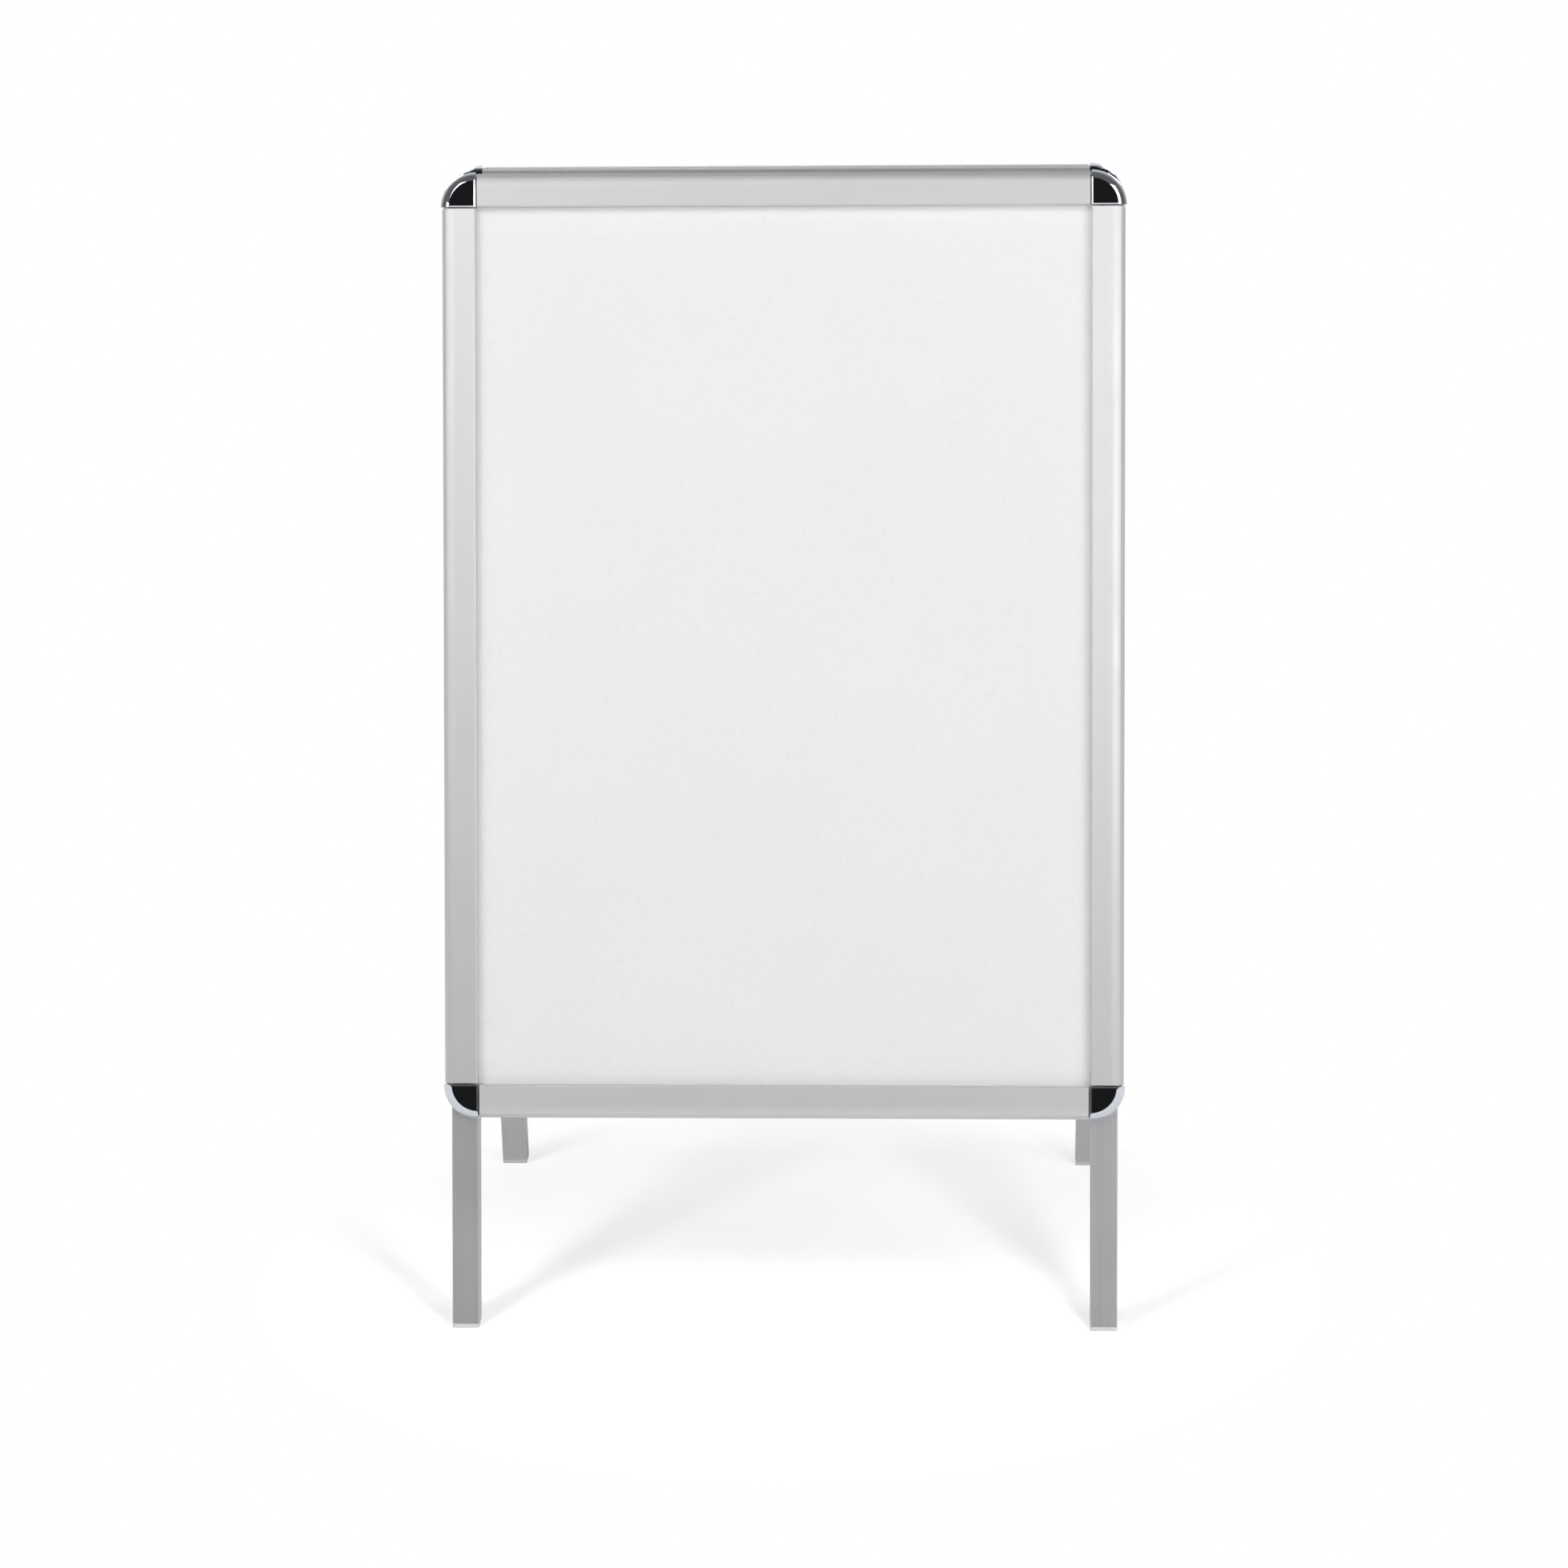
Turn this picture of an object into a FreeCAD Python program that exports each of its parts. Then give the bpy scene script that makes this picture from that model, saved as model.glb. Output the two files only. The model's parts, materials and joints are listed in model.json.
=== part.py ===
import FreeCAD, Part
import math
import os

from FreeCAD import Matrix, Placement, Rotation, Vector

# Double-sided A-frame poster board: two snap-frame panels on tube legs, hinged
# together at the top and held open by two stays that slide in the rear legs.
# Millimetres. X runs across the board, the front panel faces -Y and Z is up.
# The origin is on the floor, midway between the four feet.
#
# Each panel is drawn in a frame of its own: upright, with the hinge axis along
# X through the origin and the panel on the -Y side. A rail's section is drawn
# in (t, d): t runs inward from the frame's outer edge, d from its back to its
# front.

# Poster sheet and what it lies on
SHEET_W = 594.0
SHEET_H = 841.0
SHEET_T = 0.25
BACK_T = 0.8
COVER_T = 0.5
SHEET_AIR = 0.1         # air between one sheet and the next
SHEET_GRIP = 10.0       # strip along the sheet's edge that the rails cover
SHEET_PLAY = 0.5        # room between the sheet's edge and its pocket

# Frame rails
RAIL_W = 32.0
RAIL_DEPTH = 14.0
BACK_PLATE = 1.5
RAIL_WALL = 1.5
POCKET_RISE = 2.5       # the pocket's wall above the ledge that the sheets lie on
BASE_GAP = 0.1          # from a base rail's end to the corner caps

# Snap rail and the bead that it turns on
BEAD_R = 1.5
BEAD_NECK = 1.2
BEAD_FIT = 0.05
RING_WALL = 1.25
RING_CLEAR = 0.7        # from the ring to the back plate
RING_FROM = -45.0
RING_TO = 145.0
RING_EDGE = 0.1         # from the frame's outer edge to the ring
SKIN = 1.4
BEVEL = 52.0            # slope of the outer bevel, in degrees
SHOULDER_D = 11.5       # height at which the bevel becomes the shoulder
FLAT_T = 12.8           # the front flat starts here
EDGE_R = 1.8
LIP_GAP = 0.15          # from the lip to the clear cover

# Corner caps, keys and their screws
CAP_GAP = 1.6           # from a snap rail's end to the cap
CAP_PROUD = 0.4
CAP_WALL = 1.6
CAP_OVER = 0.6          # the cap's rim stands out from the rails' outer edge
CAP_BEVEL_W = 8.0
CAP_BEVEL_D = 7.0
CAP_BULGE = 1.1         # the bevel's rounding above its chord
CAP_CHAMFER_W = 1.0
CAP_CHAMFER_D = 0.55
CAP_SKIRT_D = 0.3       # the skirt ends this far above the frame's back
POST_R = 3.0
KEY_W = 13.0
KEY_T = 1.5
KEY_ROOM = 0.2          # from the key up to the sheets
KEY_ARM = 55.0
KEY_CLEAR = 0.5         # from the key to the pocket's wall
CORNER_SCREW_R = 1.5
CORNER_SCREW_DEPTH = 6.0

# Spring clips under the snap rails
CLIP_T = 0.5
CLIP_W = 25.0
CLIP_FOOT = 8.0
CLIP_BEND = 6.0         # from the bead's axis to the clip's bend
CLIP_GAP = 0.3
CLIP_TIP_ANGLE = 10.0

# Legs, feet and plugs
LEG_W = 25.0
LEG_D = 25.0
LEG_WALL = 1.5
LEG_EDGE_R = 1.2        # rounding of the tube's outer corners
LEG_INSET = 6.0         # from the frame's outer edge to the leg
LEG_BELOW = 197.0       # leg that shows below the frame
LEG_TOP = 8.0           # from the hinge axis down to the tube's end
PLUG_T = 2.0
PLUG_DEPTH = 8.0
PLUG_FIT = 0.1
FOOT_PAD = 4.0
FOOT_EDGE_R = 0.8       # rounding of the pad's edge on the floor
FOOT_DEPTH = 28.0
LEAN = 12.0             # each panel's lean, in degrees

# Hinges
FRAME_RISE = 12.0       # the frame's top edge above the hinge axis
LEAF_T = 2.0
LEAF_GAP = 0.5          # from a leaf to the plane between the panels
LEAF_W = 22.0
LEAF_LENGTH = 60.0
KNUCKLE_R = 4.0
KNUCKLE_GAP = 0.2
PIN_R = 2.5
PIN_FIT = 0.05
PIN_HEAD_R = 3.6
PIN_HEAD_T = 1.2

# Screws
SCREW_R = 2.0
SCREW_HEAD_R = 3.6
SCREW_HEAD_T = 1.8
SCREW_LENGTH = 10.0
SCREW_FIT = 0.05
HINGE_SCREW_Z = (-28.0, -48.0)
LEG_SCREW_SHARE = (-0.36, 0.0, 0.36)
CLIP_SHARE = (-0.25, 0.25)

# Stays
STAY_DROP = 360.0       # from the hinge axis down to the stay's pivot
STAY_W = 16.0
STAY_T = 3.0
STAY_GAP = 0.5          # from the stay to the leg
STAY_PIN_R = 3.0
STAY_FIT = 0.08
STAY_HEAD_R = 5.5
STAY_HEAD_T = 2.0
HEAD_GAP = 0.3

# Worked out from the sizes above
FRAME_W = SHEET_W + 2 * (RAIL_W - SHEET_GRIP)
FRAME_H = SHEET_H + 2 * (RAIL_W - SHEET_GRIP)
FRAME_TOP = FRAME_RISE
FRAME_BOTTOM = FRAME_RISE - FRAME_H
FRAME_MID = (FRAME_TOP + FRAME_BOTTOM) / 2
LEG_INNER_Y = -(LEAF_T + LEAF_GAP)
LEG_FRONT_Y = LEG_INNER_Y - LEG_D
LEG_MID_Y = (LEG_INNER_Y + LEG_FRONT_Y) / 2
FRAME_BACK = LEG_FRONT_Y
LEG_MID_X = FRAME_W / 2 - LEG_INSET - LEG_W / 2
LEG_SIDE_X = LEG_MID_X - LEG_W / 2
LEG_LENGTH = LEG_BELOW - FRAME_BOTTOM
HINGE_Z = LEG_LENGTH * math.cos(math.radians(LEAN)) + LEG_MID_Y * math.sin(math.radians(LEAN))
RING_R = BEAD_R + BEAD_FIT + RING_WALL
BEAD_T = RING_R + RING_EDGE
BEAD_D = BACK_PLATE + RING_R + RING_CLEAR
POCKET_T = RAIL_W - SHEET_GRIP - SHEET_PLAY
SHELF_D = BACK_PLATE + KEY_T + KEY_ROOM
SHEET_D = SHELF_D + BACK_T + SHEET_AIR
COVER_D = SHEET_D + SHEET_T + SHEET_AIR
LIP_D = COVER_D + COVER_T + LIP_GAP
KEY_R = RAIL_W - (POCKET_T - RAIL_WALL - KEY_CLEAR - KEY_W / 2)
STAY_R = math.hypot(STAY_DROP, LEG_MID_Y)
PIVOT_TILT = math.degrees(math.atan2(-LEG_MID_Y, STAY_DROP))
SLOT_TILT = math.degrees(math.asin(-LEG_MID_Y / (2 * STAY_R * math.cos(math.radians(LEAN)))))

X = Vector(1, 0, 0)
Y = Vector(0, 1, 0)
Z = Vector(0, 0, 1)
PANELS = {"front": 1, "rear": -1}
SIDES = {"left": -1, "right": 1}
ENDS = {"top": 1, "bottom": -1}


def placed(shape, placement):
    moved = shape.copy()
    moved.Placement = placement.multiply(moved.Placement)
    return moved


def axes_placement(origin, first, second, third):
    """Placement that takes X, Y and Z to three given directions."""
    return Placement(Matrix(
        first.x, second.x, third.x, origin.x,
        first.y, second.y, third.y, origin.y,
        first.z, second.z, third.z, origin.z,
        0, 0, 0, 1))


def panel_placement(turn):
    """From a panel's own frame to where it stands; turn is 1 in front, -1 behind."""
    about_z = Rotation(Z, 0 if turn > 0 else 180)
    about_x = Rotation(X, -turn * LEAN)
    return Placement(Vector(0, 0, HINGE_Z), about_x.multiply(about_z))


def rail_placement(edge, turn, end_gap):
    """From a rail's section (t, d) and its length to the panel, with that length."""
    if edge in ENDS:
        sign = ENDS[edge]
        middle = Vector(0, FRAME_BACK, FRAME_MID + sign * FRAME_H / 2)
        inward = Z * -sign
        length = FRAME_W - 2 * (RAIL_W + end_gap)
    else:
        sign = SIDES[edge] * turn
        middle = Vector(sign * FRAME_W / 2, FRAME_BACK, FRAME_MID)
        inward = X * -sign
        length = FRAME_H - 2 * (RAIL_W + end_gap)
    forward = Y * -1
    along = inward.cross(forward)
    start = middle - along * (length / 2)
    return axes_placement(start, inward, forward, along), length


def corner_placement(end, side, turn):
    """From a corner's own frame, inner corner at the origin, to the panel."""
    sign_x = SIDES[side] * turn
    sign_z = ENDS[end]
    corner = Vector(sign_x * (FRAME_W / 2 - RAIL_W), FRAME_BACK,
                    FRAME_MID + sign_z * (FRAME_H / 2 - RAIL_W))
    outward = [X * sign_x, Z * sign_z]
    if sign_x * sign_z < 0:
        outward.reverse()
    return axes_placement(corner, outward[0], outward[1], Y * -1)


def polar(centre, radius, angle):
    turn = math.radians(angle)
    return centre + Vector(radius * math.cos(turn), radius * math.sin(turn), 0)


def line(start, end):
    return Part.LineSegment(start, end).toShape()


def arc(start, middle, end):
    return Part.Arc(start, middle, end).toShape()


def face(edges):
    return Part.Face(Part.Wire(edges))


def polygon(points):
    corners = [Vector(*point) for point in points]
    return Part.Face(Part.makePolygon(corners + corners[:1]))


def rectangle(t0, d0, t1, d1):
    return polygon([(t0, d0, 0), (t1, d0, 0), (t1, d1, 0), (t0, d1, 0)])


def box(x0, x1, y0, y1, z0, z1):
    return Part.makeBox(x1 - x0, y1 - y0, z1 - z0, Vector(x0, y0, z0))


def rod(start, direction, length, radius):
    return Part.makeCylinder(radius, length, start, direction)


def prism(faces, length):
    """One solid from faces of the same section, extruded along Z."""
    solids = [shape.extrude(Z * length) for shape in faces]
    return solids[0].multiFuse(solids[1:]).removeSplitter()


def obround(start, end, radius, x0, x1):
    """Bar with round ends, flat across X, about two points given as (y, z)."""
    first = Vector(x0, *start)
    last = Vector(x0, *end)
    ahead = (last - first).normalize() * radius
    aside = ahead.cross(X)
    outline = face([
        line(first + aside, last + aside),
        arc(last + aside, last + ahead, last - aside),
        line(last - aside, first - aside),
        arc(first - aside, first - ahead, first + aside)])
    return outline.extrude(X * (x1 - x0))


def base_rail(length):
    """Aluminium rail with the bead for the snap rail and the sheets' pocket."""
    bead = Vector(BEAD_T, BEAD_D, 0)
    neck_t0 = BEAD_T - BEAD_NECK / 2
    wall_t0 = POCKET_T - RAIL_WALL
    return prism([
        rectangle(neck_t0, 0, RAIL_W, BACK_PLATE),
        rectangle(neck_t0, 0, neck_t0 + BEAD_NECK, BEAD_D),
        Part.Face(Part.Wire(Part.makeCircle(BEAD_R, bead))),
        rectangle(wall_t0, 0, POCKET_T, SHELF_D + POCKET_RISE),
        rectangle(wall_t0, 0, RAIL_W, SHELF_D)], length)


def snap_rail(length):
    """Front rail: a ring that clips over the bead, a bevelled crown and a lip."""
    bead = Vector(BEAD_T, BEAD_D, 0)
    inner_r = BEAD_R + BEAD_FIT
    ring_mid = (RING_FROM + RING_TO) / 2
    ring = face([
        arc(polar(bead, RING_R, RING_FROM), polar(bead, RING_R, ring_mid), polar(bead, RING_R, RING_TO)),
        line(polar(bead, RING_R, RING_TO), polar(bead, inner_r, RING_TO)),
        arc(polar(bead, inner_r, RING_TO), polar(bead, inner_r, ring_mid), polar(bead, inner_r, RING_FROM)),
        line(polar(bead, inner_r, RING_FROM), polar(bead, RING_R, RING_FROM))])

    bevel_foot = polar(bead, RING_R, BEVEL + 90)
    bevel_run = (SHOULDER_D - bevel_foot.y) / math.tan(math.radians(BEVEL))
    bevel_top = Vector(bevel_foot.x + bevel_run, SHOULDER_D, 0)
    run = FLAT_T - bevel_top.x
    rise = RAIL_DEPTH - SHOULDER_D
    shoulder_r = (run ** 2 + rise ** 2) / (2 * rise)
    centre = Vector(FLAT_T, RAIL_DEPTH - shoulder_r, 0)
    start = 90 + math.degrees(math.asin(run / shoulder_r))
    halfway = (start + 90) / 2
    under_r = shoulder_r - SKIN
    edge = Vector(RAIL_W - EDGE_R, RAIL_DEPTH - EDGE_R, 0)
    lip_inside = RAIL_W - SKIN
    flat_under = RAIL_DEPTH - SKIN
    web = polar(bead, (inner_r + RING_R) / 2, BEVEL)

    crown = face([
        line(bevel_foot, bevel_top),
        arc(bevel_top, polar(centre, shoulder_r, halfway), polar(centre, shoulder_r, 90)),
        line(polar(centre, shoulder_r, 90), polar(edge, EDGE_R, 90)),
        arc(polar(edge, EDGE_R, 90), polar(edge, EDGE_R, 45), polar(edge, EDGE_R, 0)),
        line(polar(edge, EDGE_R, 0), Vector(RAIL_W, LIP_D, 0)),
        line(Vector(RAIL_W, LIP_D, 0), Vector(lip_inside, LIP_D, 0)),
        line(Vector(lip_inside, LIP_D, 0), Vector(lip_inside, flat_under, 0)),
        line(Vector(lip_inside, flat_under, 0), polar(centre, under_r, 90)),
        arc(polar(centre, under_r, 90), polar(centre, under_r, halfway), polar(centre, under_r, start)),
        line(polar(centre, under_r, start), web),
        line(web, bevel_foot)])
    return prism([crown, ring], length)


def quarter(outline):
    """Quarter turn of an outline about Z."""
    return outline.revolve(Vector(), Z, 90)


def domed_quarter(rim, top):
    """Quarter disc with a rounded bevel along its arc."""
    bevel_end = Vector(rim, 0, top - CAP_BEVEL_D)
    bevel_start = Vector(rim - CAP_BEVEL_W, 0, top)
    chord = bevel_end - bevel_start
    bulge = Vector(-chord.z, 0, chord.x).normalize() * CAP_BULGE
    base = Vector(rim, 0, CAP_SKIRT_D)
    return quarter(face([
        line(Vector(0, 0, CAP_SKIRT_D), base),
        line(base, bevel_end),
        arc(bevel_end, bevel_start + chord / 2 + bulge, bevel_start),
        line(bevel_start, Vector(0, 0, top)),
        line(Vector(0, 0, top), Vector(0, 0, CAP_SKIRT_D))]))


def across_diagonal(shape):
    """Mirror image across a corner's diagonal."""
    return shape.mirror(Vector(), Vector(1, -1, 0))


def corner_cap():
    """Chromed quarter-round shell that covers the ends of two rails."""
    top = RAIL_DEPTH + CAP_PROUD
    rim = RAIL_W + CAP_OVER
    shell = domed_quarter(rim, top)
    hollow = domed_quarter(rim - CAP_WALL, top - CAP_WALL)
    over_sheets = box(0, CAP_WALL, 0, rim, LIP_D, top)
    beside_sheets = box(0, CAP_WALL, RAIL_W - POCKET_T, rim, SHELF_D, top)
    side = over_sheets.fuse(beside_sheets)
    cap = shell.cut(hollow.cut(side.fuse(across_diagonal(side))))

    chamfer = polygon([(0, 0, top - CAP_CHAMFER_D), (CAP_CHAMFER_W, 0, top), (0, 0, top)]).extrude(Y * rim)
    cap = cap.cut(chamfer).cut(across_diagonal(chamfer))

    foot = corner_point(BACK_PLATE + KEY_T)
    post = rod(foot, Z, top - CAP_WALL / 2 - foot.z, POST_R)
    pilot = rod(foot, Z, CORNER_SCREW_DEPTH + SCREW_FIT, CORNER_SCREW_R + SCREW_FIT)
    return cap.fuse(post).removeSplitter().cut(pilot)


def corner_point(height):
    """Point on a corner's diagonal, in the middle of the key."""
    reach = KEY_R * math.sqrt(0.5)
    return Vector(reach, reach, height)


def corner_key():
    """Steel angle that runs in the channels of two rails behind a cap."""
    near = KEY_R - KEY_W / 2
    far = KEY_R + KEY_W / 2
    top = BACK_PLATE + KEY_T
    bend = quarter(polygon([(near, 0, BACK_PLATE), (far, 0, BACK_PLATE), (far, 0, top), (near, 0, top)]))
    arms = [
        box(near, far, -KEY_ARM, 0, BACK_PLATE, top),
        box(-KEY_ARM, 0, near, far, BACK_PLATE, top)]
    hole = rod(corner_point(0), Z, top, CORNER_SCREW_R + SCREW_FIT)
    return bend.multiFuse(arms).removeSplitter().cut(hole)


def corner_screw():
    head_t = BACK_PLATE - CAP_SKIRT_D
    head = rod(corner_point(CAP_SKIRT_D), Z, head_t, SCREW_HEAD_R)
    shank = rod(corner_point(CAP_SKIRT_D), Z, head_t + KEY_T + CORNER_SCREW_DEPTH, CORNER_SCREW_R)
    return head.fuse(shank).removeSplitter()


def spring_clip():
    """Bent steel strip that presses on the snap rail's ring."""
    bend = Vector(BEAD_T + CLIP_BEND, BACK_PLATE, 0)
    tip = polar(Vector(BEAD_T, BEAD_D, 0), RING_R + CLIP_GAP, CLIP_TIP_ANGLE)
    slope = (tip - bend).normalize()
    across = Vector(slope.y, -slope.x, 0) * CLIP_T
    strip = face([
        line(bend, tip),
        line(tip, tip + across),
        line(tip + across, bend + across + slope * CLIP_T),
        line(bend + across + slope * CLIP_T, bend + Vector(CLIP_FOOT, CLIP_T, 0)),
        line(bend + Vector(CLIP_FOOT, CLIP_T, 0), bend + Vector(CLIP_FOOT, 0, 0)),
        line(bend + Vector(CLIP_FOOT, 0, 0), bend)])
    return strip.extrude(Z * CLIP_W)


def sheet(thickness, depth):
    """Flat sheet of the poster's size, its back at a depth in the frame."""
    back_y = FRAME_BACK - depth
    return box(-SHEET_W / 2, SHEET_W / 2, back_y - thickness, back_y,
               FRAME_MID - SHEET_H / 2, FRAME_MID + SHEET_H / 2)


def leg_core(sign, inset, z0, z1):
    """Leg's outline, drawn in on all four sides by an inset that also takes from its rounding."""
    middle = sign * LEG_MID_X
    half = LEG_W / 2 - inset
    core = box(middle - half, middle + half, LEG_FRONT_Y + inset, LEG_INNER_Y - inset, z0, z1)
    rounding = LEG_EDGE_R - inset
    if rounding <= 0:
        return core
    upright = [edge for edge in core.Edges if abs(edge.tangentAt(edge.FirstParameter).z) > 0.5]
    return core.makeFillet(rounding, upright)


def below(height):
    reach = 2 * LEG_LENGTH
    return box(-reach, reach, -reach, reach, -reach, height)


def rail_stations(shares):
    """Heights along a side rail, as shares of its length from its middle."""
    length = FRAME_H - 2 * (RAIL_W + CAP_GAP)
    return [FRAME_MID + share * length for share in shares]


def leg_screw_places(sign):
    """Points on the side rail's back plate, in the middle of the key's channel."""
    x = sign * (FRAME_W / 2 - RAIL_W + KEY_R)
    return [Vector(x, FRAME_BACK - BACK_PLATE, z) for z in rail_stations(LEG_SCREW_SHARE)]


def hinge_screw_places(sign):
    return [Vector(sign * LEG_MID_X, -LEAF_GAP, z) for z in HINGE_SCREW_Z]


def pan_screw(place):
    """Screw whose head is in front of its seat and whose shank points back."""
    head = rod(place, Y * -1, SCREW_HEAD_T, SCREW_HEAD_R)
    shank = rod(place - Y * SCREW_HEAD_T, Y, SCREW_HEAD_T + SCREW_LENGTH, SCREW_R)
    return head.fuse(shank).removeSplitter()


def flush_screw(place, room=0.0):
    """Countersunk screw flush with the leaf, its shank into the leg."""
    head = Part.makeCone(SCREW_HEAD_R + room, SCREW_R + room, LEAF_T, place, Y * -1)
    shank = rod(place, Y * -1, SCREW_LENGTH, SCREW_R + room)
    return head.fuse(shank)


def leg(sign):
    """Leg tube with its holes, before its foot is cut level with the floor."""
    bottom = -LEG_LENGTH - LEG_D
    tube = leg_core(sign, 0, bottom, -LEG_TOP).cut(leg_core(sign, LEG_WALL, bottom, -LEG_TOP))
    holes = [rod(place, Y, SCREW_LENGTH, SCREW_R + SCREW_FIT) for place in leg_screw_places(sign)]
    holes += [flush_screw(place, SCREW_FIT) for place in hinge_screw_places(sign)]
    for hole in holes:
        tube = tube.cut(hole)
    return tube


def leg_plug(sign):
    """Plastic stopper in the top of a leg tube."""
    lid = leg_core(sign, 0, -LEG_TOP, -LEG_TOP + PLUG_T)
    stem = leg_core(sign, LEG_WALL + PLUG_FIT, -LEG_TOP - PLUG_DEPTH, -LEG_TOP)
    return lid.fuse(stem).removeSplitter()


def foot(sign, placement):
    """Plastic foot: a pad level with the floor and a stem up inside the tube."""
    low = -LEG_LENGTH - LEG_D
    pad = placed(leg_core(sign, 0, low, -LEG_LENGTH + LEG_D), placement)
    pad = pad.cut(below(0)).common(below(FOOT_PAD))
    on_floor = [edge for edge in pad.Edges if edge.BoundBox.ZMax < FOOT_PAD / 2]
    pad = pad.makeFillet(FOOT_EDGE_R, on_floor)
    stem = placed(leg_core(sign, LEG_WALL + PLUG_FIT, low, FOOT_DEPTH - LEG_LENGTH), placement)
    stem = stem.cut(below(FOOT_PAD / 2))
    return pad.fuse(stem).removeSplitter()


def knuckle_spans(sign, turn):
    """The hinge's knuckles along X: two on the front leaf, one on the rear leaf."""
    third = LEAF_W / 3
    start = sign * LEG_MID_X - LEAF_W / 2
    inset = KNUCKLE_GAP / 2
    spans = [(start + i * third + inset, start + (i + 1) * third - inset) for i in range(3)]
    own = spans[::2] if turn > 0 else spans[1:2]
    others = spans[1:2] if turn > 0 else spans[::2]
    return own, others


def hinge_leaf(sign, turn):
    """Steel leaf on a leg's inner face, with its share of the hinge's barrel."""
    middle = sign * LEG_MID_X
    own, others = knuckle_spans(sign, turn)
    leaf = box(middle - LEAF_W / 2, middle + LEAF_W / 2, LEG_INNER_Y, -LEAF_GAP, -LEAF_LENGTH, 0)
    reach = KNUCKLE_R + LEAF_GAP
    for start, end in others:
        room = KNUCKLE_GAP
        leaf = leaf.cut(box(start - room, end + room, -reach, reach, -reach, reach))
    for start, end in own:
        leaf = leaf.fuse(rod(Vector(start, 0, 0), X, end - start, KNUCKLE_R))
    leaf = leaf.removeSplitter().cut(hinge_pin(sign, PIN_FIT))
    for place in hinge_screw_places(sign):
        leaf = leaf.cut(flush_screw(place, SCREW_FIT))
    return leaf


def hinge_pin(sign, room=0.0):
    """Pin through the barrel, with a flat head at each end."""
    start = Vector(sign * LEG_MID_X - LEAF_W / 2, 0, 0)
    pin = rod(start, X, LEAF_W, PIN_R + room)
    for end, way in ((start, X * -1), (start + X * LEAF_W, X)):
        pin = pin.fuse(rod(end, way, PIN_HEAD_T, PIN_HEAD_R))
    return pin.removeSplitter()


def on_plane(radius, angle):
    """(y, z) of a point at an angle from straight down below the hinge axis."""
    turn = math.radians(angle)
    return radius * math.sin(turn), HINGE_Z - radius * math.cos(turn)


def stay_spread(fold):
    """Radius of the sliding pin from the hinge axis at a fold angle."""
    spread = 2 * LEAN - fold + PIVOT_TILT + SLOT_TILT
    return 2 * STAY_R * math.cos(math.radians(spread))


def stay_pivot_point():
    return on_plane(STAY_R, -LEAN - PIVOT_TILT)


def stay_pin_point(fold=0.0):
    """Where the sliding pin is on the rear leg as it stands open."""
    return on_plane(stay_spread(fold), LEAN + SLOT_TILT)


def stay_levels():
    """Distances from the board's middle to a stay's two faces."""
    outer = LEG_SIDE_X - STAY_GAP
    return outer - STAY_T, outer


def across(sign, near, far, point, radius):
    """Rod along X between two distances from the board's middle."""
    return rod(Vector(sign * near, *point), X * sign, far - near, radius)


def stay(sign):
    """Flat steel bar: a hole for its pivot and one for its sliding pin."""
    near, far = stay_levels()
    x0, x1 = sorted((sign * near, sign * far))
    bar = obround(stay_pivot_point(), stay_pin_point(), STAY_W / 2, x0, x1)
    for point in (stay_pivot_point(), stay_pin_point()):
        bar = bar.cut(across(sign, near, far, point, STAY_PIN_R + STAY_FIT))
    return bar


def stay_rivet(sign, point):
    """Rivet through the stay and the leg's side wall, with a head at each end."""
    near, far = stay_levels()
    inside = LEG_SIDE_X + LEG_WALL + HEAD_GAP
    near_head = across(sign, near - STAY_HEAD_T - HEAD_GAP, near - HEAD_GAP, point, STAY_HEAD_R)
    far_head = across(sign, inside, inside + STAY_HEAD_T, point, STAY_HEAD_R)
    shank = across(sign, near - HEAD_GAP, inside, point, STAY_PIN_R)
    return shank.multiFuse([near_head, far_head]).removeSplitter()


def stay_hole(sign, turn):
    """Opening in a leg's side wall: a round hole in front, a slot behind."""
    near = LEG_SIDE_X - LEG_WALL
    far = LEG_SIDE_X + 2 * LEG_WALL
    radius = STAY_PIN_R + STAY_FIT
    if turn > 0:
        return across(sign, near, far, stay_pivot_point(), radius)
    x0, x1 = sorted((sign * near, sign * far))
    return obround(stay_pin_point(), stay_pin_point(2 * LEAN), radius, x0, x1)


def panel_rails(name, turn, placement):
    nodes = {}
    clips = []
    for edge in list(ENDS) + list(SIDES):
        on_panel, length = rail_placement(edge, turn, CAP_GAP)
        base_on_panel, base_length = rail_placement(edge, turn, BASE_GAP)
        whole = placement.multiply(on_panel)
        base = base_rail(base_length)
        if edge in SIDES:
            back = base_on_panel.inverse()
            for place in leg_screw_places(SIDES[edge] * turn):
                base = base.cut(placed(rod(place, Y, BACK_PLATE, SCREW_R + SCREW_FIT), back))
        nodes[f"{name}_base_rail_{edge}"] = placed(base, placement.multiply(base_on_panel))
        nodes[f"{name}_snap_rail_{edge}"] = placed(snap_rail(length), whole)
        for share in CLIP_SHARE:
            station = Placement(Z * (length * (0.5 + share) - CLIP_W / 2), Rotation())
            clips.append(placed(spring_clip(), whole.multiply(station)))
    nodes[f"{name}_spring_clips"] = Part.makeCompound(clips)
    return nodes


def panel_corners(name, turn, placement):
    nodes = {}
    keys = []
    screws = []
    for end in ENDS:
        for side in SIDES:
            whole = placement.multiply(corner_placement(end, side, turn))
            nodes[f"{name}_corner_cap_{end}_{side}"] = placed(corner_cap(), whole)
            keys.append(placed(corner_key(), whole))
            screws.append(placed(corner_screw(), whole))
    nodes[f"{name}_corner_keys"] = Part.makeCompound(keys)
    nodes[f"{name}_corner_screws"] = Part.makeCompound(screws)
    return nodes


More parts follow.
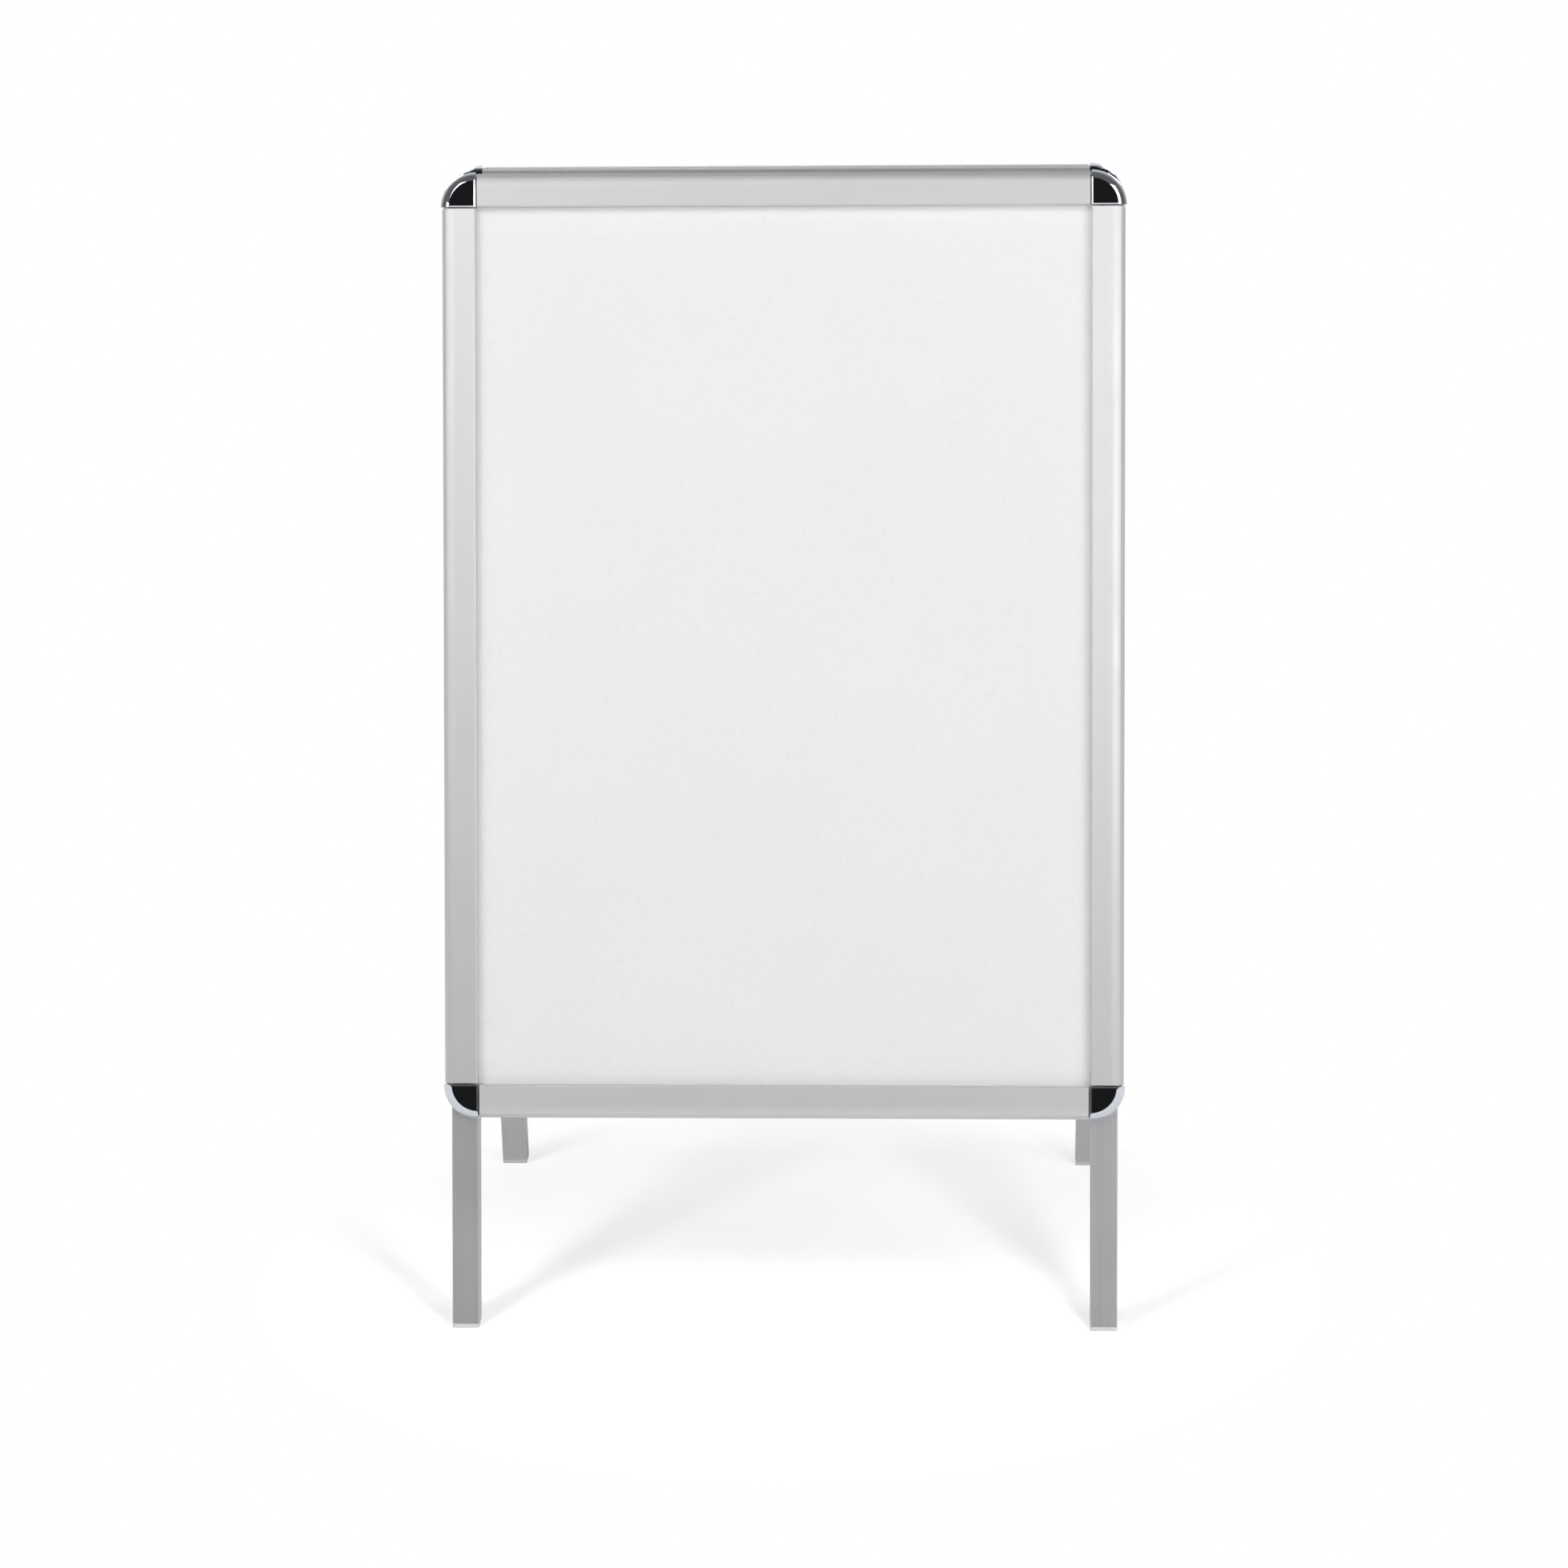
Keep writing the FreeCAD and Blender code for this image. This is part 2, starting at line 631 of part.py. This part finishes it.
def panel_sheets(name, placement):
    return {
        f"{name}_back_panel": placed(sheet(BACK_T, SHELF_D), placement),
        f"{name}_poster": placed(sheet(SHEET_T, SHEET_D), placement),
        f"{name}_clear_cover": placed(sheet(COVER_T, COVER_D), placement)}


def panel_legs(name, turn, placement):
    nodes = {}
    plugs = []
    leg_screws = []
    hinge_screws = []
    for side, world_sign in SIDES.items():
        sign = world_sign * turn
        tube = placed(leg(sign), placement).cut(below(FOOT_PAD))
        nodes[f"{name}_leg_{side}"] = tube.cut(stay_hole(world_sign, turn))
        nodes[f"{name}_foot_{side}"] = foot(sign, placement)
        nodes[f"{name}_hinge_leaf_{side}"] = placed(hinge_leaf(sign, turn), placement)
        plugs.append(placed(leg_plug(sign), placement))
        leg_screws += [placed(pan_screw(place), placement) for place in leg_screw_places(sign)]
        hinge_screws += [placed(flush_screw(place), placement) for place in hinge_screw_places(sign)]
    nodes[f"{name}_leg_plugs"] = Part.makeCompound(plugs)
    nodes[f"{name}_leg_screws"] = Part.makeCompound(leg_screws)
    nodes[f"{name}_hinge_screws"] = Part.makeCompound(hinge_screws)
    return nodes


def shared_pieces():
    """Hinge pins and stays, which join the two panels."""
    front = panel_placement(1)
    pins = [placed(hinge_pin(sign), front) for sign in SIDES.values()]
    pivots = [stay_rivet(sign, stay_pivot_point()) for sign in SIDES.values()]
    nodes = {"hinge_pins": Part.makeCompound(pins), "stay_pivots": Part.makeCompound(pivots)}
    for side, sign in SIDES.items():
        nodes[f"stay_{side}"] = stay(sign)
        nodes[f"stay_sliding_pin_{side}"] = stay_rivet(sign, stay_pin_point())
    return nodes


def all_nodes():
    nodes = shared_pieces()
    for name, turn in PANELS.items():
        placement = panel_placement(turn)
        nodes.update(panel_rails(name, turn, placement))
        nodes.update(panel_corners(name, turn, placement))
        nodes.update(panel_sheets(name, placement))
        nodes.update(panel_legs(name, turn, placement))
    return nodes


def main():
    os.makedirs("parts", exist_ok=True)
    for name, shape in all_nodes().items():
        if not shape.isValid():
            raise ValueError(f"{name} is not a valid shape")
        shape.exportStep(f"parts/{name}.step")
        print(name, len(shape.Solids), round(shape.Volume, 1))


if __name__ == "__main__":
    main()
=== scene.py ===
import json
import math

import bpy
from mathutils import Matrix, Vector

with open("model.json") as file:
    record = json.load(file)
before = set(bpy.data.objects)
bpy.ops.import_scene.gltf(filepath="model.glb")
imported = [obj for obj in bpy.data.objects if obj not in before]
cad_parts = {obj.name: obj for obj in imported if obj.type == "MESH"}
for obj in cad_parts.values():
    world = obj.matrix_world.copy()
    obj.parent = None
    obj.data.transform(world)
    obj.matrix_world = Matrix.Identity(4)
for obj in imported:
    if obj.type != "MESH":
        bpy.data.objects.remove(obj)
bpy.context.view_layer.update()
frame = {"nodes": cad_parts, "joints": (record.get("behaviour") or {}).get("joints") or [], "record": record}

# A double-sided A-frame poster board on a white studio floor. The pieces come
# from the frame; this script gives each its finish and sets light and camera.
JOINTS = {joint["name"]: joint for joint in frame["joints"]}
HINGE_Z = JOINTS["fold"]["pos_m"][2]
LEAN = math.radians(JOINTS["fold"]["range_deg"][1] / 2)
PANEL_TILT = {"front": -LEAN, "rear": LEAN}
MM = 0.001

# Camera: where it stands, its turns in degrees, its lens and sensor in millimetres
CAMERA_PLACE = (0.1528, -4.0375, 1.4748)
CAMERA_PITCH = -14.003
CAMERA_YAW = 2.241
CAMERA_ROLL = -0.503
CAMERA_LENS = 98.409
SENSOR_W = 36.0

# Drawn aluminium: die lines along the extrusion, broader bands and cloudy patches
LINE_SIZE = 0.9 * MM
LINE_STRETCH = 300.0
LINE_DEPTH = 0.012 * MM
BAND_SIZE = 5 * MM
BAND_SHARE = 0.6
CLOUD_SIZE = 60 * MM
SATIN_ANISOTROPY = 0.5
QUARTER_TURN = 0.25
SATIN_SPREAD = 0.05
RAIL_FINISH = {"colour": (0.66, 0.66, 0.665), "roughness": 0.55, "streaks": 0.02}
LEG_FINISH = {"colour": (0.585, 0.587, 0.603), "roughness": 0.45, "streaks": 0.06}

# Floor: its glow to the camera, and how far from its centre it turns plain white,
# first as the camera sees it and then as metal and glass show it
FLOOR_SIZE = 60.0
FLOOR_COLOUR = (0.7, 0.7, 0.7, 1)
FLOOR_GLOW = 0.29
FLOOR_CENTRE = (0, -0.1, 0)
FLOOR_FADE = (0.38, 0.52)
MIRROR_FADE = (0.45, 0.85)

# Room: levels of its parts, the Y of the directions where the backdrop sets in and
# is full, and the angles in degrees from a panel's normal over which a dark patch fades
WHITE_LEVEL = 1.0
ROOM_LEVEL = 0.16
BACKDROP_LEVEL = 0.8
BACKDROP_EDGES = (0.15, 0.9)
DARK_LEVEL = 0.015
DARK_ANGLES = (11, 18)

# Lamps: turn from the front and rise in degrees, size in metres, power in watts
LAMP_DISTANCE = 2.6
LAMP_AIM = (0, 0, 0.62)
LAMPS = {
    "left_softbox": {"turn": -31, "rise": 14, "size": (0.9, 0.9), "power": 5.0},
    "far_left_softbox": {"turn": -57, "rise": 16, "size": (0.9, 0.9), "power": 5.5},
    "high_left_softbox": {"turn": -40, "rise": 39, "size": (0.9, 1.4), "power": 15.5},
    "right_softbox": {"turn": 35, "rise": 14, "size": (1.3, 0.9), "power": 18.5},
    "far_right_softbox": {"turn": 55, "rise": 33, "size": (0.9, 1.3), "power": 8.0},
    "top_softbox": {"turn": 0, "rise": 45, "size": (1.1, 0.8), "power": 10.0}}
REAR_LAMPS = {
    "rear_left_softbox": {"turn": -146, "rise": 28, "size": (0.9, 0.9), "power": 14.5},
    "rear_right_softbox": {"turn": 146, "rise": 28, "size": (0.9, 0.9), "power": 14.5}}
FLOOR_LAMPS = {
    "left_floor_lamp": {"turn": -38, "rise": 42, "size": (0.45, 0.45), "power": 26.0},
    "right_floor_lamp": {"turn": 26, "rise": 42, "size": (0.45, 0.45), "power": 31.0}}


def node(tree, kind, inputs=None, **settings):
    """New node; each input is a value or the output of another node."""
    made = tree.nodes.new(kind)
    for key, value in settings.items():
        setattr(made, key, value)
    for key, value in (inputs or {}).items():
        if isinstance(value, bpy.types.NodeSocket):
            tree.links.new(value, made.inputs[key])
        else:
            made.inputs[key].default_value = value
    return made


def grey(value):
    return (value, value, value, 1)


def new_material(name, **sockets):
    """Material with one Principled shader whose sockets have these values."""
    material = bpy.data.materials.new(name)
    material.use_nodes = True
    tree = material.node_tree
    shader = tree.nodes["Principled BSDF"]
    for key, value in sockets.items():
        shader.inputs[key.replace("_", " ").title()].default_value = value
    return material, tree, shader


def bare_material(name):
    """Material whose node tree is still empty."""
    material = bpy.data.materials.new(name)
    material.use_nodes = True
    material.node_tree.nodes.clear()
    return material, material.node_tree


def feed(tree, shader, socket, value):
    """Links a pattern to one of a shader's sockets."""
    tree.links.new(value, shader.inputs[socket])


def piece_coordinates(tree):
    return node(tree, "ShaderNodeTexCoord").outputs["Object"]


def panel_coordinates(tree, panel, stretch):
    """Coordinates along a leaning panel's own axes, drawn out by a stretch on each."""
    return node(tree, "ShaderNodeMapping", {
        "Vector": piece_coordinates(tree),
        "Location": (0, 0, HINGE_Z),
        "Rotation": (PANEL_TILT[panel], 0, 0),
        "Scale": stretch}, vector_type="TEXTURE").outputs["Vector"]


def noise(tree, vector, size, detail=2):
    """Noise whose features are about a given size, in metres."""
    return node(tree, "ShaderNodeTexNoise", {
        "Vector": vector, "Scale": 1 / size, "Detail": detail}).outputs["Fac"]


def between(tree, value, low, high, start=0.25, end=0.75):
    """Maps a pattern's value onto a range."""
    return node(tree, "ShaderNodeMapRange", {
        "Value": value, "From Min": start, "From Max": end, "To Min": low, "To Max": high}).outputs["Result"]


def shades(tree, value, low, high, start=0.25, end=0.75):
    """Maps a pattern's value onto a run between two colours."""
    ramp = node(tree, "ShaderNodeValToRGB", {"Fac": value})
    for element, place, colour in zip(ramp.color_ramp.elements, (start, end), (low, high)):
        element.position = place
        element.color = colour
    return ramp.outputs["Color"]


def mix(tree, share, first, second):
    """Number that goes from the first to the second as the share goes from 0 to 1."""
    return node(tree, "ShaderNodeMix", {0: share, 2: first, 3: second}).outputs[0]


def calculate(tree, operation, *values):
    return node(tree, "ShaderNodeMath", dict(enumerate(values)), operation=operation).outputs["Value"]


def bump(tree, shader, height, depth):
    made = node(tree, "ShaderNodeBump", {"Height": height, "Distance": depth, "Strength": 1.0})
    feed(tree, shader, "Normal", made.outputs["Normal"])


def drawn_aluminium(name, panel, along, colour, roughness, streaks):
    """Satin anodised extrusion, with its sheen spread across the die lines."""
    material, tree, shader = new_material(
        name, metallic=1.0, anisotropic=SATIN_ANISOTROPY, anisotropic_rotation=QUARTER_TURN)
    length = Matrix.Rotation(PANEL_TILT[panel], 3, "X") @ Vector([axis == along for axis in "xyz"])
    tangent = node(tree, "ShaderNodeVectorTransform", {"Vector": length}, vector_type="VECTOR",
                   convert_from="OBJECT", convert_to="WORLD")
    feed(tree, shader, "Tangent", tangent.outputs["Vector"])
    stretch = [LINE_STRETCH if axis == along else 1.0 for axis in "xyz"]
    lines = noise(tree, panel_coordinates(tree, panel, stretch), LINE_SIZE, detail=3)
    bands = noise(tree, panel_coordinates(tree, panel, stretch), BAND_SIZE)
    clouds = noise(tree, piece_coordinates(tree), CLOUD_SIZE, detail=3)
    low = tuple(channel * (1 - streaks) for channel in colour) + (1,)
    high = tuple(channel * (1 + streaks) for channel in colour) + (1,)
    feed(tree, shader, "Base Color", shades(tree, mix(tree, BAND_SHARE, lines, bands), low, high))
    patches = calculate(tree, "ADD", lines, clouds)
    feed(tree, shader, "Roughness", between(
        tree, patches, roughness - SATIN_SPREAD, roughness + SATIN_SPREAD, start=0.6, end=1.4))
    bump(tree, shader, lines, LINE_DEPTH)
    return material


def chrome():
    """Polished plating with faint haze and wipe marks."""
    haze_size = 9 * MM
    dull = (0.61, 0.635, 0.68, 1)
    bright = (0.66, 0.685, 0.73, 1)
    material, tree, shader = new_material("corner_chrome", metallic=1.0)
    haze = noise(tree, piece_coordinates(tree), haze_size, detail=4)
    feed(tree, shader, "Roughness", between(tree, haze, low=0.02, high=0.06))
    feed(tree, shader, "Base Color", shades(tree, haze, dull, bright))
    return material


def galvanised():
    """Zinc-coated sheet with grown crystals."""
    crystal_size = 13 * MM
    warp_size = 14 * MM
    warp_share = 0.006
    material, tree, shader = new_material("galvanised_sheet", metallic=1.0)
    vector = piece_coordinates(tree)
    warp = node(tree, "ShaderNodeTexNoise", {"Vector": vector, "Scale": 1 / warp_size}).outputs["Color"]
    bent = node(tree, "ShaderNodeMix", {0: warp_share, 4: vector, 5: warp}, data_type="VECTOR").outputs[1]
    cells = node(tree, "ShaderNodeTexVoronoi", {"Vector": bent, "Scale": 1 / crystal_size}).outputs["Color"]
    crystal = node(tree, "ShaderNodeSeparateColor", {"Color": cells}).outputs["Red"]
    feed(tree, shader, "Base Color", shades(tree, crystal, low=grey(0.5), high=grey(0.64), start=0, end=1))
    feed(tree, shader, "Roughness", between(tree, crystal, low=0.36, high=0.52, start=0, end=1))
    return material


def paper():
    """Blank white sheet with a fine tooth."""
    tooth_size = 0.8 * MM
    tooth_depth = 0.01 * MM
    cloud_size = 180 * MM
    low = (0.865, 0.852, 0.868, 1)
    high = (0.885, 0.87, 0.885, 1)
    material, tree, shader = new_material("poster_paper", roughness=0.7)
    clouds = noise(tree, piece_coordinates(tree), cloud_size)
    feed(tree, shader, "Base Color", shades(tree, clouds, low, high))
    bump(tree, shader, noise(tree, piece_coordinates(tree), tooth_size, detail=4), tooth_depth)
    return material


def clear_sheet():
    """Clear low-glare film: what is behind it shows, with a soft sheen on its outer face."""
    ripple_size = 4 * MM
    film_index = 1.38
    film_tint = grey(0.98)
    material, tree = bare_material("clear_cover")
    ripple = noise(tree, piece_coordinates(tree), ripple_size, detail=3)
    sheen = node(tree, "ShaderNodeBsdfGlossy", {
        "Color": grey(1), "Roughness": between(tree, ripple, low=0.22, high=0.3)})
    clear = node(tree, "ShaderNodeBsdfTransparent", {"Color": film_tint})
    share = node(tree, "ShaderNodeFresnel", {"IOR": film_index}).outputs["Fac"]
    inside = node(tree, "ShaderNodeNewGeometry").outputs["Backfacing"]
    outer_share = mix(tree, inside, share, 0.0)
    film = node(tree, "ShaderNodeMixShader", {0: outer_share, 1: clear.outputs[0], 2: sheen.outputs[0]})
    node(tree, "ShaderNodeOutputMaterial", {"Surface": film.outputs[0]})
    return material


def plated_steel(name, low, high, roughness):
    """Zinc-plated or blued steel with clouded plating and rolled grain."""
    cloud_size = 7 * MM
    grain_size = 0.5 * MM
    grain_depth = 0.01 * MM
    spread = 0.06
    material, tree, shader = new_material(name, metallic=1.0)
    clouds = noise(tree, piece_coordinates(tree), cloud_size, detail=4)
    feed(tree, shader, "Base Color", shades(tree, clouds, low, high))
    feed(tree, shader, "Roughness", between(tree, clouds, roughness - spread, roughness + spread))
    bump(tree, shader, noise(tree, piece_coordinates(tree), grain_size), grain_depth)
    return material


def moulded(name, low, high, roughness):
    """Moulded plastic with a fine spark-eroded grain."""
    cloud_size = 8 * MM
    grain_size = 0.4 * MM
    grain_depth = 0.03 * MM
    spread = 0.05
    material, tree, shader = new_material(name)
    grain = noise(tree, piece_coordinates(tree), grain_size)
    clouds = noise(tree, piece_coordinates(tree), cloud_size)
    feed(tree, shader, "Base Color", shades(tree, clouds, low, high))
    feed(tree, shader, "Roughness", between(tree, grain, roughness - spread, roughness + spread))
    bump(tree, shader, grain, grain_depth)
    return material


def make_finishes():
    """One material for each kind of piece, and for each direction that the aluminium is drawn in."""
    finishes = {
        "corner_chrome": chrome(),
        "galvanised_sheet": galvanised(),
        "poster_paper": paper(),
        "clear_cover": clear_sheet(),
        "spring_steel": plated_steel(
            "spring_steel", low=grey(0.3), high=(0.36, 0.37, 0.4, 1), roughness=0.35),
        "zinc_steel": plated_steel(
            "zinc_steel", low=grey(0.58), high=(0.66, 0.67, 0.69, 1), roughness=0.32),
        "foot_plastic": moulded("foot_plastic", low=grey(0.66), high=grey(0.72), roughness=0.5),
        "dark_plastic": moulded("dark_plastic", low=grey(0.03), high=grey(0.045), roughness=0.45)}
    for panel in PANEL_TILT:
        for along in "xz":
            finishes[f"rail_{panel}_{along}"] = drawn_aluminium(
                f"rail_aluminium_{panel}_{along}", panel, along, **RAIL_FINISH)
        finishes[f"leg_{panel}"] = drawn_aluminium(f"leg_aluminium_{panel}", panel, "z", **LEG_FINISH)
    return finishes


def dress_pieces():
    """Gives each piece the finish of its own kind."""
    finishes = make_finishes()
    for row in frame["record"]["subparts"]:
        name = row["node"]
        slot = row["material_slot"]
        panel = name.split("_")[0]
        if slot == "rail_aluminium":
            along = "x" if name.endswith(("top", "bottom")) else "z"
            slot = f"rail_{panel}_{along}"
        elif slot == "leg_aluminium":
            slot = f"leg_{panel}"
        for place in frame["nodes"][name].material_slots:
            place.material = finishes[slot]


def ray_kinds(tree):
    """Whether a ray comes from the camera, and whether it comes by way of metal or glass."""
    path = node(tree, "ShaderNodeLightPath").outputs
    mirrored = calculate(tree, "MAXIMUM", path["Is Glossy Ray"], path["Is Transmission Ray"])
    return path["Is Camera Ray"], mirrored


def lay_floor():
    """White floor that keeps the shadows near the board and is plain white further off."""
    bpy.ops.mesh.primitive_plane_add(size=FLOOR_SIZE)
    floor = bpy.context.object
    floor.name = "floor"
    material, tree = bare_material("floor_white")
    seen, mirrored = ray_kinds(tree)
    reach = node(tree, "ShaderNodeVectorMath", {
        0: piece_coordinates(tree), 1: FLOOR_CENTRE}, operation="DISTANCE").outputs["Value"]
    seen_white = calculate(tree, "MULTIPLY", seen, between(tree, reach, 0, 1, *FLOOR_FADE))
    mirrored_far = between(tree, reach, 0, 1, *MIRROR_FADE)
    white_share = calculate(tree, "MULTIPLY_ADD", mirrored, mirrored_far, seen_white)
    matt = node(tree, "ShaderNodeBsdfDiffuse", {"Color": FLOOR_COLOUR})
    glow = node(tree, "ShaderNodeEmission", {"Strength": calculate(tree, "MULTIPLY", seen, FLOOR_GLOW)})
    near = node(tree, "ShaderNodeAddShader", {0: matt.outputs[0], 1: glow.outputs[0]})
    white = node(tree, "ShaderNodeEmission", {"Color": grey(1), "Strength": WHITE_LEVEL})
    both = node(tree, "ShaderNodeMixShader", {0: white_share, 1: near.outputs[0], 2: white.outputs[0]})
    node(tree, "ShaderNodeOutputMaterial", {"Surface": both.outputs[0]})
    floor.data.materials.append(material)
    return floor


def light_room():
    """Pale room with a backdrop that metal and glass show white, and dark patches facing both panels."""
    world = bpy.data.worlds.new("room")
    bpy.context.scene.world = world
    world.use_nodes = True
    tree = world.node_tree
    tree.nodes.clear()
    seen, mirrored = ray_kinds(tree)
    direction = node(tree, "ShaderNodeTexCoord").outputs["Generated"]
    depth = node(tree, "ShaderNodeSeparateXYZ", {0: direction}).outputs["Y"]
    backdrop = mix(tree, mirrored, BACKDROP_LEVEL, WHITE_LEVEL)
    level = between(tree, depth, ROOM_LEVEL, backdrop, *BACKDROP_EDGES)
    folded = node(tree, "ShaderNodeVectorMath", {0: direction}, operation="ABSOLUTE").outputs["Vector"]
    normal = (0, math.cos(LEAN), math.sin(LEAN))
    closeness = node(tree, "ShaderNodeVectorMath", {
        0: folded, 1: normal}, operation="DOT_PRODUCT").outputs["Value"]
    dark_edge, pale_edge = (math.cos(math.radians(angle)) for angle in DARK_ANGLES)
    patch = between(tree, closeness, 0, 1, pale_edge, dark_edge)
    lit = mix(tree, patch, level, DARK_LEVEL)
    sky = node(tree, "ShaderNodeBackground", {
        "Color": grey(1), "Strength": mix(tree, seen, lit, WHITE_LEVEL)})
    node(tree, "ShaderNodeOutputWorld", {"Surface": sky.outputs[0]})


def group(name, members):
    """Collection that only tells lamps which things they work on."""
    made = bpy.data.collections.new(name)
    for member in members:
        made.objects.link(member)
    return made


def hang_lamps(lamps, lit=None, shading=None):
    """Lamps turned to the board; they light one group and take shadows from another, or from all."""
    for name, lamp in lamps.items():
        data = bpy.data.lights.new(name, "AREA")
        data.shape = "RECTANGLE"
        data.size, data.size_y = lamp["size"]
        data.energy = lamp["power"]
        turn = math.radians(lamp["turn"])
        rise = math.radians(lamp["rise"])
        away = Vector((math.sin(turn) * math.cos(rise), -math.cos(turn) * math.cos(rise), math.sin(rise)))
        holder = bpy.data.objects.new(name, data)
        holder.location = Vector(LAMP_AIM) + away * LAMP_DISTANCE
        holder.rotation_euler = (-away).to_track_quat("-Z", "Y").to_euler()
        holder.light_linking.receiver_collection = lit
        holder.light_linking.blocker_collection = shading
        bpy.context.scene.collection.objects.link(holder)


def set_camera():
    data = bpy.data.cameras.new("camera")
    data.sensor_width = SENSOR_W
    data.lens = CAMERA_LENS
    camera = bpy.data.objects.new("camera", data)
    turn = (Matrix.Rotation(math.radians(CAMERA_YAW), 3, "Z")
            @ Matrix.Rotation(math.radians(90 + CAMERA_PITCH), 3, "X")
            @ Matrix.Rotation(math.radians(CAMERA_ROLL), 3, "Z"))
    camera.location = CAMERA_PLACE
    camera.rotation_euler = turn.to_euler()
    bpy.context.scene.collection.objects.link(camera)
    bpy.context.scene.camera = camera


dress_pieces()
floor = lay_floor()
board = frame["nodes"]
legs = [piece for name, piece in board.items() if "_leg_" in name or "_foot_" in name]
light_room()
hang_lamps(LAMPS)
hang_lamps(REAR_LAMPS, group("board_only", board.values()))
hang_lamps(FLOOR_LAMPS, group("floor_only", [floor]), group("legs_only", legs))
set_camera()
bpy.context.scene.view_settings.view_transform = "Standard"
